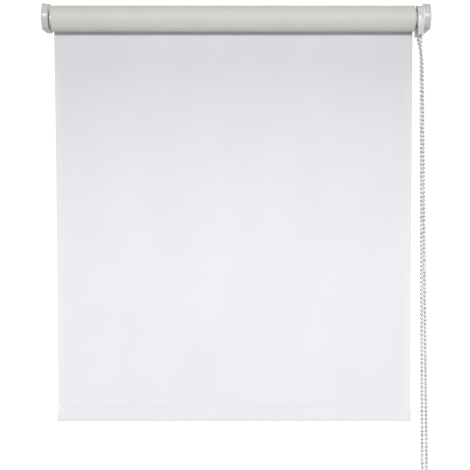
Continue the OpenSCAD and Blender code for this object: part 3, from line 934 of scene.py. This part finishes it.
class BLIND_OT_covers(bpy.types.Operator):
    """Snap-on covers over the two brackets"""

    bl_idname = "blind.covers"
    bl_label = "Bracket covers"

    def execute(self, context):
        plastic = moulded_plastic("cover plastic", colours().cover, 0.3, 0.15)
        for name, side in (("left_cover", -1), ("right_cover", 1)):
            cover = self.cover(name, side)
            dress(cover, plastic)
            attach(cover, "brackets")
            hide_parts(name)
        return {"FINISHED"}

    def cover(self, node, side):
        """Round nose on a channel that runs back to the wall, open inside."""
        size = sizes()
        low, high = node_box(node)
        radius = (high.z - low.z) / 2
        centre = (low.y + radius, (low.z + high.z) / 2)
        shell = bar_along_x(node + "_shell", low.x, high.x, centre, radius)
        edit(shell)
        bpy.ops.mesh.select_all(action="SELECT")
        bpy.ops.mesh.bisect(plane_co=(0, centre[0], 0), plane_no=(0, 1, 0), clear_outer=True)
        pick_edges(shell, lambda a, b, e: e.is_boundary and abs(a.y - centre[0]) < NEAR
                   and abs(b.y - centre[0]) < NEAR)
        bpy.ops.mesh.extrude_region_move(TRANSFORM_OT_translate={"value": (0, high.y - centre[0], 0)})
        pick_faces(shell, lambda c, n: n.x * side < -0.9)
        bpy.ops.mesh.delete(type="FACE")
        outer = high.x if side > 0 else low.x
        # The flat parts of the outer face become one, so that the rounding runs round it
        pick_faces(shell, lambda c, n: n.x * side > 0.9)
        bpy.ops.mesh.dissolve_faces()
        pick_edges(shell, lambda a, b, e: abs(a.x - outer) < NEAR and abs(b.x - outer) < NEAR
                   and not e.is_boundary)
        bpy.ops.mesh.bevel(offset=size.cover_round, segments=4, profile=0.5, affect="EDGES")
        done()
        turn_faces_out(shell, merge=True)
        turn_shell_out(shell, Vector((-side, 0, 0)))
        apply_modifier(shell, "SOLIDIFY", "wall", thickness=size.cover_wall, offset=-1.0,
                       use_even_offset=True)
        soften(shell, 0.25 * MM)
        return shell


class BLIND_OT_guard(bpy.types.Operator):
    """Chain guard round the sprocket"""

    bl_idname = "blind.guard"
    bl_label = "Chain guard"

    HUB_HOLE_R = 13.2 * MM
    CHAIN_ROOM = 1 * MM

    def execute(self, context):
        size = sizes()
        low, high = node_box("chain_guard")
        radius = (high.y - low.y) / 2
        guard = bar_along_x("guard_shell", low.x, high.x, (AXIS.y, 0), radius)
        edit(guard)
        bpy.ops.mesh.select_all(action="SELECT")
        bpy.ops.mesh.bisect(plane_co=(0, 0, 0), plane_no=(0, 0, 1), clear_inner=True)
        pick_edges(guard, lambda a, b, e: e.is_boundary and abs(a.z) < NEAR and abs(b.z) < NEAR)
        bpy.ops.mesh.extrude_region_move(TRANSFORM_OT_translate={"value": (0, 0, low.z)})
        pick_edges(guard, lambda a, b, e: e.is_boundary)
        bpy.ops.mesh.edge_face_add()
        pick_faces(guard, lambda c, n: n.x > 0.9)
        bpy.ops.mesh.delete(type="FACE")
        pick_faces(guard, lambda c, n: n.x < -0.9)
        bpy.ops.mesh.dissolve_faces()
        pick_edges(guard, lambda a, b, e: abs(a.x - low.x) < NEAR and abs(b.x - low.x) < NEAR)
        bpy.ops.mesh.bevel(offset=size.guard_round, segments=3, profile=0.5, affect="EDGES")
        done()
        turn_faces_out(guard, merge=True)
        turn_shell_out(guard, Vector((1, 0, 0)))
        apply_modifier(guard, "SOLIDIFY", "wall", thickness=size.guard_wall, offset=-1.0,
                       use_even_offset=True)
        turn_faces_out(guard, merge=True)
        past = MM
        cut_away(guard, bar_along_x(
            "hub_hole", low.x - past, low.x + 2.5 * MM, (AXIS.y, 0), self.HUB_HOLE_R))
        beads_low, beads_high = node_box("wrap_beads")
        middle = (beads_low.x + beads_high.x) / 2
        for y in (beads_low.y + size.bead_d / 2, beads_high.y - size.bead_d / 2):
            nothing_selected()
            bpy.ops.mesh.primitive_cylinder_add(
                vertices=32, radius=size.bead_d / 2 + self.CHAIN_ROOM, depth=6 * MM,
                location=(middle, y, low.z))
            slot = context.object
            settle(slot)
            cut_away(guard, slot)
        soften(guard, 0.2 * MM)
        dress(guard, moulded_plastic("guard plastic", colours().guard, 0.32, 0.15))
        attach(guard, "brackets")
        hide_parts("chain_guard")
        return {"FINISHED"}


class BLIND_OT_hem_caps(bpy.types.Operator):
    """End caps that clip over the hem"""

    bl_idname = "blind.hem_caps"
    bl_label = "Hem end caps"

    CHEEK = 0.95 * MM
    GRIP = 3 * MM

    def execute(self, context):
        plastic = moulded_plastic("hem cap plastic", colours().hem_cap, 0.28, 0.2)
        sheet_y = SHEET_HIGH.y - sizes().fabric_t / 2
        for node, side in (("hem_cap_left", -1), ("hem_cap_right", 1)):
            low, high = node_box(node)
            cap = block(node + "_clip", low, high)
            edit(cap)
            # The mouth that takes the hem, then its depth
            pick_faces(cap, lambda c, n: n.x * side < -0.9)
            bpy.ops.mesh.inset(thickness=self.CHEEK, depth=0)
            bpy.ops.mesh.extrude_region_move(
                TRANSFORM_OT_translate={"value": (side * self.GRIP, 0, 0)})
            done()
            # Slot for the sheet and the flap welded behind it, a little deeper than the grip
            past = MM
            inner = low.x if side > 0 else high.x
            ends = sorted((inner - side * past, inner + side * (self.GRIP + 0.3 * MM)))
            slot = block("slot", (ends[0], sheet_y - 0.5 * MM, HEM_HIGH.z - past),
                         (ends[1], sheet_y + 1 * MM, high.z + past))
            cut_away(cap, slot)
            soften(cap, 0.45 * MM, 3)
            dress(cap, plastic)
            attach(cap, "hem")
            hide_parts(node)
        return {"FINISHED"}


class BLIND_OT_pin_spring(bpy.types.Operator):
    """Coil spring that gives way when the idle pin slides in"""

    bl_idname = "blind.pin_spring"
    bl_label = "Pin spring"

    TURNS = 8
    STEPS_A_TURN = 24
    WIRE_SIDES = 8

    def execute(self, context):
        low, high = node_box("pin_spring")
        wire = sizes().spring_wire / 2
        coil = (high.y - low.y) / 2 - wire
        nothing_selected()
        bpy.ops.mesh.primitive_circle_add(
            vertices=self.WIRE_SIDES, radius=wire, location=(low.x + wire, AXIS.y, 0))
        spring = context.object
        spring.name = "pin_coil"
        edit(spring)
        bpy.ops.mesh.select_all(action="SELECT")
        bpy.ops.transform.translate(value=(0, coil, 0))
        done()
        apply_modifier(
            spring, "SCREW", "coil", axis="X", angle=math.tau, iterations=self.TURNS,
            steps=self.STEPS_A_TURN, render_steps=self.STEPS_A_TURN,
            screw_offset=(high.x - low.x - 2 * wire) / self.TURNS)
        settle(spring)
        edit(spring)
        bpy.ops.mesh.select_all(action="SELECT")
        bpy.ops.mesh.fill_holes(sides=self.WIRE_SIDES)
        done()
        turn_faces_out(spring)
        smooth(spring, 60)
        dress(spring, drawn_metal("pin spring wire", SPRING_STEEL, 0.34))
        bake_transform(spring, "roller", "idle_pin", start=(high.x, AXIS.y, 0), end=(low.x, AXIS.y, 0))
        even_blend(spring, 0, high.x, low.x)
        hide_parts("pin_spring")
        return {"FINISHED"}


class BLIND_OT_finishes(bpy.types.Operator):
    """Finishes of the parts that the frame already shapes"""

    bl_idname = "blind.finishes"
    bl_label = "Frame finishes"

    def execute(self, context):
        white = colours().moulding
        finishes = {
            "left_bracket": painted_metal("left bracket paint", BRACKET_PAINT),
            "right_bracket": painted_metal("right bracket paint", BRACKET_PAINT),
            "clutch_core": moulded_plastic("core plastic", white, 0.42),
            "clutch_washer": drawn_metal("washer zinc", ZINC, 0.34),
            "clutch_screw": drawn_metal("screw zinc", ZINC, 0.3),
            "core_clip": drawn_metal("clip spring steel", SPRING_STEEL, 0.36),
            "sprocket": moulded_plastic("sprocket plastic", GREY_PLASTIC, 0.45),
            "drive_hub": moulded_plastic("hub plastic", white, 0.42),
            "wrap_springs": drawn_metal("wrap spring wire", SPRING_STEEL, 0.34),
            "roller_tube": drawn_metal("tube aluminium", ALUMINIUM, 0.3),
            "bond_strip": moulded_plastic("bonding tape", TAPE, 0.5),
            "hem_bar": drawn_metal("hem bar aluminium", ALUMINIUM, 0.36),
            "idle_plug": moulded_plastic("plug plastic", white, 0.4),
            "idle_pin": drawn_metal("pin steel", ZINC, 0.26),
            "pin_retainer": moulded_plastic("bush plastic", GREY_PLASTIC, 0.5),
        }
        for name, material in finishes.items():
            dress(frame["nodes"][name], material)
        return {"FINISHED"}


STEPS = (
    BLIND_OT_stage, BLIND_OT_chain, BLIND_OT_fabric, BLIND_OT_wound,
    BLIND_OT_covers, BLIND_OT_guard, BLIND_OT_hem_caps, BLIND_OT_pin_spring, BLIND_OT_finishes,
)


class BLIND_PT_panel(bpy.types.Panel):
    """Lists the blind's settings and the steps that make it"""

    bl_idname = "BLIND_PT_panel"
    bl_label = "Roller Blind"
    bl_space_type = "VIEW_3D"
    bl_region_type = "UI"
    bl_category = "Roller Blind"

    def draw(self, context):
        layout = self.layout
        for group in (context.scene.blind_sizes, context.scene.blind_colours):
            box = layout.box()
            for name in group.bl_rna.properties.keys():
                if name not in {"rna_type", "name"}:
                    box.prop(group, name)
        for step in STEPS:
            layout.operator(step.bl_idname)


CLASSES = (BlindSizes, BlindColours, *STEPS, BLIND_PT_panel)


def register():
    for cls in CLASSES:
        bpy.utils.register_class(cls)
    bpy.types.Scene.blind_sizes = PointerProperty(type=BlindSizes)
    bpy.types.Scene.blind_colours = PointerProperty(type=BlindColours)


def unregister():
    del bpy.types.Scene.blind_colours
    del bpy.types.Scene.blind_sizes
    for cls in reversed(CLASSES):
        bpy.utils.unregister_class(cls)


def main():
    register()
    for step in STEPS:
        space, name = step.bl_idname.split(".")
        getattr(getattr(bpy.ops, space), name)()
    nothing_selected()


if __name__ == "__main__":
    main()
